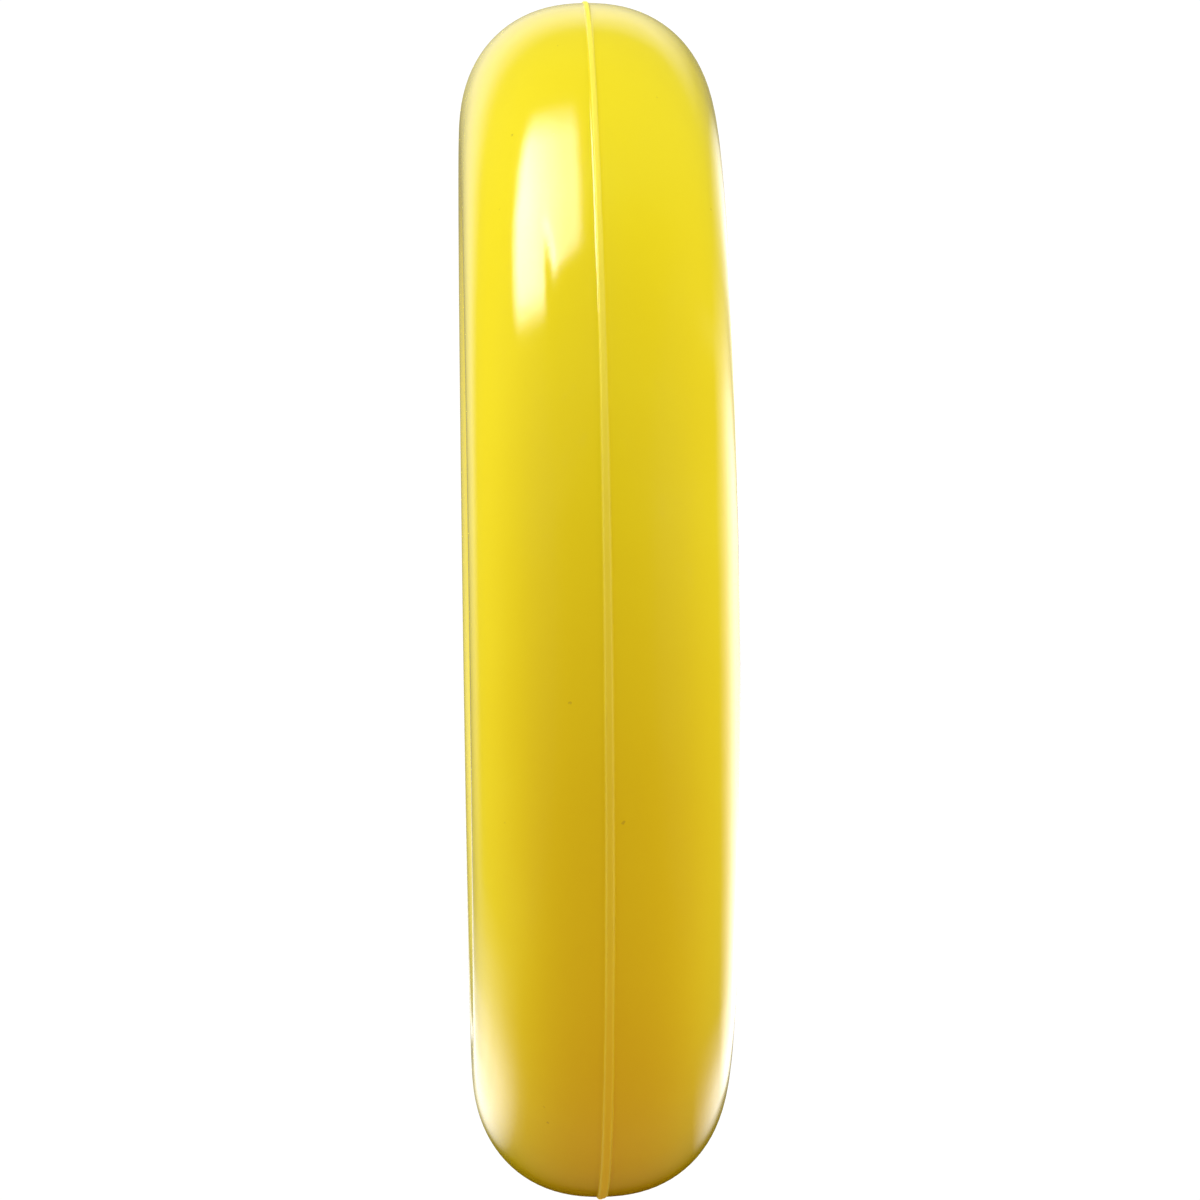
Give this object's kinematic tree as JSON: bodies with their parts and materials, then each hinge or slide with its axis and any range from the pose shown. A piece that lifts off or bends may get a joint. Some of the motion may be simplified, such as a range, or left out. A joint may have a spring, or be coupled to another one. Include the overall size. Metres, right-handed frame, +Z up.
{
  "type": "curling stone",
  "caption": "Low-profile curling stone: air-filled bumper ring round a weighted two-part core with a dish, a fold-flat handle and a running band.",
  "frame": {"origin": "on the ice, under the middle of the stone", "axes": "+Z up along the stone's axis of rotation on the ice, +X along the handle's hinge axis, +Y towards the grip when the handle is folded flat"},
  "size_m": [0.2808, 0.2808, 0.0614],
  "materials": {
    "ring_yellow": "glossy moulded",
    "handle_yellow": "semi-gloss moulded",
    "core_grey": "fine moulded texture",
    "dark_rubber": "matte",
    "foam_grey": "closed-cell foam",
    "ballast_steel": "as rolled",
    "bright_steel": "zinc plated",
    "band_steel": "polished"
  },
  "bodies": {
    "stone": {"bumper_ring": "ring_yellow", "valve_body": "dark_rubber", "valve_plug": "ring_yellow", "core_upper": "core_grey", "core_lower": "core_grey", "shell_gasket": "dark_rubber", "ballast_plate_lower": "ballast_steel", "ballast_plate_upper": "ballast_steel", "ballast_pad": "foam_grey", "spacer_tube": "bright_steel", "running_band": "band_steel", "band_screw_1": "bright_steel", "band_screw_2": "bright_steel", "band_screw_3": "bright_steel", "band_screw_4": "bright_steel", "band_screw_5": "bright_steel", "band_screw_6": "bright_steel", "centre_bolt": "bright_steel", "lower_washer": "bright_steel", "upper_washer": "bright_steel", "centre_nut": "bright_steel", "centre_cap": "handle_yellow", "handle_base": "core_grey", "base_screw_1": "bright_steel", "base_screw_2": "bright_steel", "base_screw_3": "bright_steel", "base_screw_4": "bright_steel", "rest_pad_left": "dark_rubber", "rest_pad_right": "dark_rubber", "pivot_bolt_left": "bright_steel", "pivot_bolt_right": "bright_steel", "pivot_washer_left": "bright_steel", "pivot_washer_right": "bright_steel", "pivot_nut_left": "bright_steel", "pivot_nut_right": "bright_steel"},
    "handle": {"handle_arm_left": "handle_yellow", "handle_arm_right": "handle_yellow", "grip_bar": "bright_steel", "grip_sleeve": "dark_rubber", "arm_screw_left": "bright_steel", "arm_screw_right": "bright_steel"}
  },
  "joints": [
    {"name": "handle_fold", "type": "hinge", "parent": "stone", "child": "handle", "pos_m": [0, 0, 0.045], "axis": [1, 0, 0], "range_deg": [0, 90]}
  ]
}
